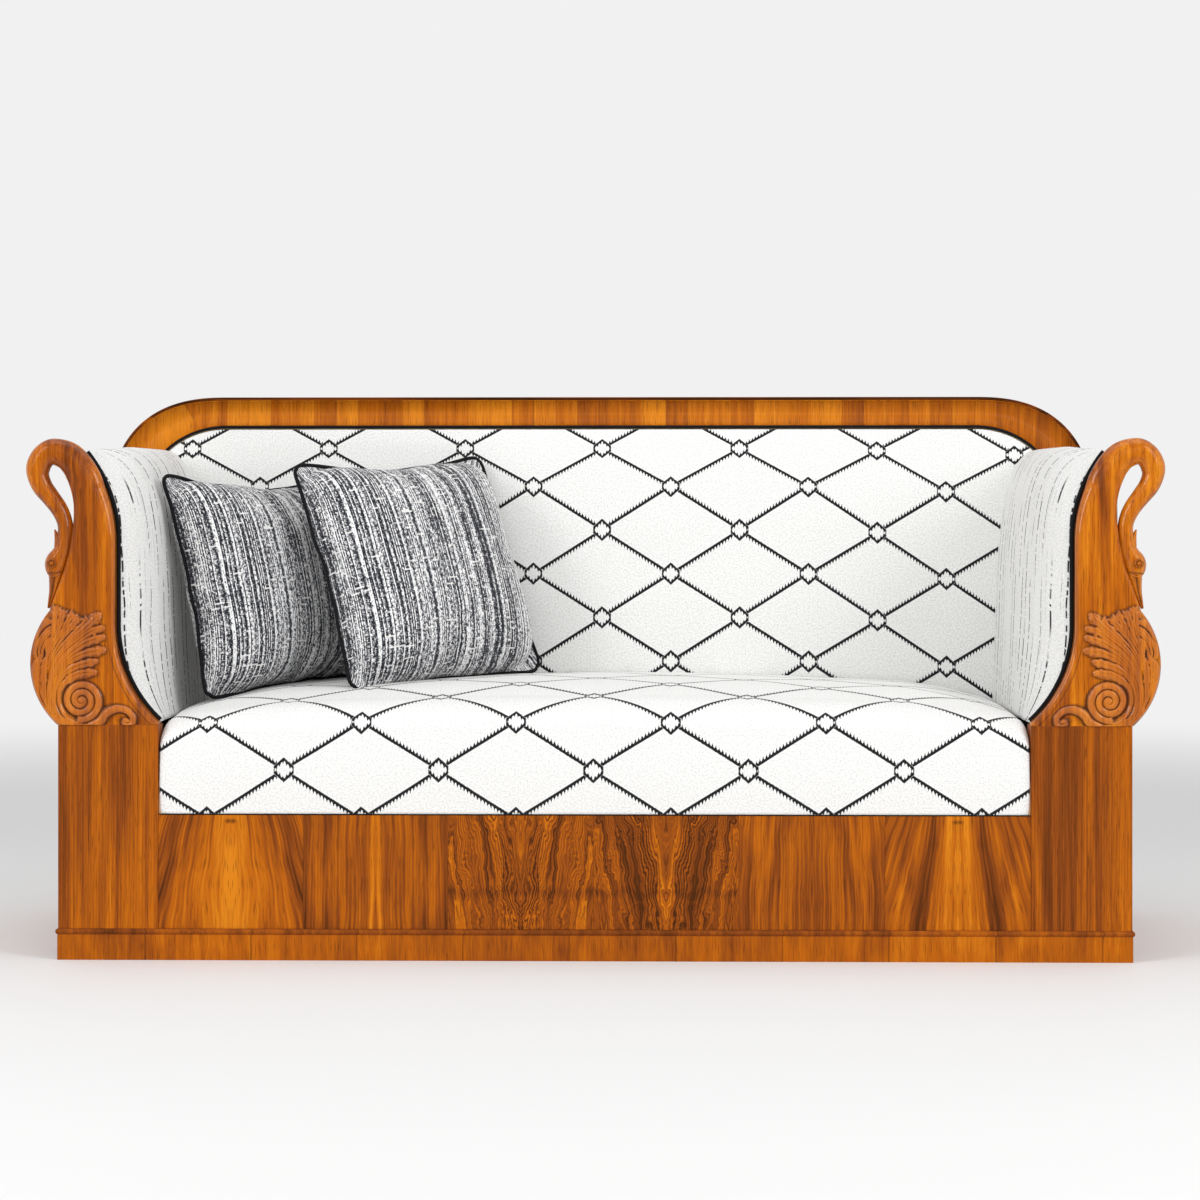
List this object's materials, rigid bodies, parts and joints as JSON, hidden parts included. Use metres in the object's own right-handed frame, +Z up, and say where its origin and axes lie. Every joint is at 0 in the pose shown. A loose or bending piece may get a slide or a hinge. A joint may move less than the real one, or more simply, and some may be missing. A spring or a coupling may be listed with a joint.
{
  "type": "sofa",
  "caption": "Long walnut sofa with arm fronts carved as swans, an arched crest rail, trellis upholstery and loose square pillows.",
  "frame": {"origin": "on the floor, under the middle of the plinth", "axes": "+X to the right seen from the front, +Y from the front to the back, +Z up"},
  "size_m": [2.0418, 0.68, 1.04],
  "materials": {
    "walnut": "polished shellac",
    "dark_walnut": "polished shellac",
    "pine": "sawn",
    "beech": "planed",
    "jute": "woven strap",
    "hessian": "coarse plain weave",
    "trellis_cloth": "woven wool with a dark trellis",
    "dashed_cloth": "woven wool with broken dark lines",
    "plain_cloth": "woven wool",
    "black_cord": "corded piping",
    "tweed": "slubbed tweed"
  },
  "bodies": {
    "sofa": {"plinth_front": "walnut", "plinth_left": "walnut", "plinth_right": "walnut", "plinth_back": "walnut", "apron_veneer": "walnut", "left_front_post": "walnut", "right_front_post": "walnut", "left_base_side": "walnut", "right_base_side": "walnut", "left_back_post": "walnut", "right_back_post": "walnut", "crest_rail": "walnut", "left_swan_front": "walnut", "right_swan_front": "walnut", "crest_moulding": "dark_walnut", "apron_board": "pine", "base_back_board": "pine", "base_cross_rails": "pine", "corner_blocks": "pine", "seat_rail_front": "beech", "seat_rail_back": "beech", "seat_rail_left": "beech", "seat_rail_right": "beech", "back_top_rail": "beech", "back_lower_rail": "beech", "back_stiles": "beech", "left_arm_top_rail": "beech", "right_arm_top_rail": "beech", "left_arm_bottom_rail": "beech", "right_arm_bottom_rail": "beech", "frame_dowels": "beech", "seat_webbing": "jute", "back_webbing": "jute", "seat_hessian": "hessian", "back_hessian": "hessian", "left_arm_hessian": "hessian", "right_arm_hessian": "hessian", "seat_upholstery": "trellis_cloth", "back_upholstery": "trellis_cloth", "left_arm_upholstery": "dashed_cloth", "right_arm_upholstery": "dashed_cloth", "outer_back_panel": "plain_cloth", "left_outer_arm_panel": "plain_cloth", "right_outer_arm_panel": "plain_cloth", "crest_piping": "black_cord", "left_arm_piping": "black_cord", "right_arm_piping": "black_cord"},
    "rear_pillow": {"rear_pillow": "tweed", "rear_pillow_piping": "black_cord"},
    "front_pillow": {"front_pillow": "tweed", "front_pillow_piping": "black_cord"}
  },
  "joints": [
    {"name": "rear_pillow_lift", "type": "slide", "parent": "sofa", "child": "rear_pillow", "axis": [0.45, -0.5, 0.74], "range_m": [0, 0.4]},
    {"name": "front_pillow_lift", "type": "slide", "parent": "rear_pillow", "child": "front_pillow", "axis": [0.4206, -0.5507, 0.721], "range_m": [0, 0.4]}
  ]
}
